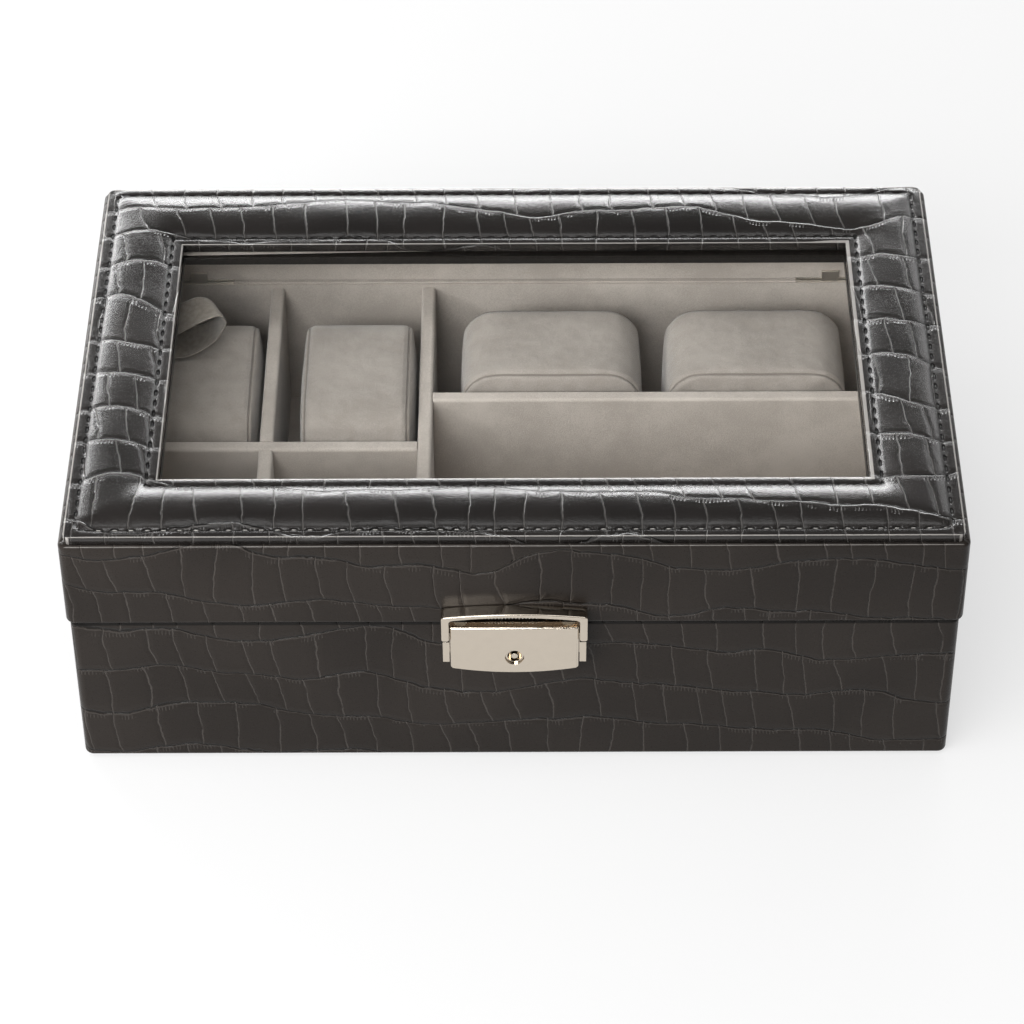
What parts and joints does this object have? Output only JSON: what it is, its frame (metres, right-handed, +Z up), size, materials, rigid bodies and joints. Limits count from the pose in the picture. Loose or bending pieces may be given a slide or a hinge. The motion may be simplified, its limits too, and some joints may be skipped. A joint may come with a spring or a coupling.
{
  "type": "watch and cufflink box",
  "caption": "Leather-covered box with a glass window in its hinged padded lid, a push lock, suede compartments and lift-out watch pillows.",
  "frame": {"origin": "under the middle of the box, on the surface it stands on", "axes": "+X to the right along the lock side, +Y from the lock to the hinges, +Z up"},
  "size_m": [0.29, 0.1951, 0.1016],
  "materials": {
    "leather": "embossed, semi-gloss",
    "suede": "brushed suede",
    "board": "fibreboard",
    "felt": "felt",
    "glass": "clear",
    "nickel": "polished nickel plate",
    "steel": "plated",
    "satin": "satin ribbon"
  },
  "bodies": {
    "base": {"base_wrap": "leather", "base_lining": "suede", "floor_pad": "suede", "divider_left_rear": "suede", "divider_left_front": "suede", "divider_long": "suede", "divider_left_cross": "suede", "divider_right_cross": "suede", "base_bottom_board": "board", "base_board_front": "board", "base_board_rear": "board", "base_board_left": "board", "base_board_right": "board", "base_felt": "felt", "hinge_base_leaf_left": "nickel", "hinge_base_leaf_right": "nickel", "hinge_pin_left": "nickel", "hinge_pin_right": "nickel", "lock_base_plate": "nickel", "hinge_screws_base": "steel", "lock_screws": "steel", "lock_case": "steel", "return_spring": "steel", "lid_ribbon": "satin"},
    "lid": {"lid_board_front": "board", "lid_board_rear": "board", "lid_board_left": "board", "lid_board_right": "board", "lid_wrap": "leather", "lid_lining": "suede", "glass_frame": "board", "window_lining": "suede", "glass_pane": "glass", "top_board": "board", "padded_frame": "leather", "hinge_lid_leaf_left": "nickel", "hinge_lid_leaf_right": "nickel", "hinge_screws_lid": "steel", "lid_bracket": "nickel", "lid_catch": "nickel", "bracket_screws": "steel"},
    "push_plate": {"push_plate": "nickel", "slide_block": "steel"},
    "key": {"key_plug": "nickel", "key_cam": "steel"},
    "pillow_first": {"pillow_first": "suede"},
    "pillow_second": {"pillow_second": "suede"},
    "pillow_third": {"pillow_third": "suede"},
    "pillow_fourth": {"pillow_fourth": "suede"}
  },
  "joints": [
    {"name": "lid_hinge", "type": "hinge", "parent": "base", "child": "lid", "pos_m": [0, 0.0951, 0.0622], "axis": [-1, 0, 0], "range_deg": [0, 100], "deforming": ["lid_ribbon"]},
    {"name": "lock_push", "type": "slide", "parent": "base", "child": "push_plate", "axis": [0, 0, -1], "range_m": [0, 0.0025], "stiffness_N_per_m": 600, "springref_m": -0.002, "deforming": ["return_spring"]},
    {"name": "key_turn", "type": "hinge", "parent": "push_plate", "child": "key", "pos_m": [0, -0.098, 0.0517], "axis": [0, -1, 0], "range_deg": [0, 90]},
    {"name": "pillow_first_lift", "type": "slide", "parent": "base", "child": "pillow_first", "axis": [0, 0, 1], "range_m": [0, 0.02]},
    {"name": "pillow_second_lift", "type": "slide", "parent": "base", "child": "pillow_second", "axis": [0, 0, 1], "range_m": [0, 0.02]},
    {"name": "pillow_third_lift", "type": "slide", "parent": "base", "child": "pillow_third", "axis": [0, 0, 1], "range_m": [0, 0.02]},
    {"name": "pillow_fourth_lift", "type": "slide", "parent": "base", "child": "pillow_fourth", "axis": [0, 0, 1], "range_m": [0, 0.02]}
  ]
}
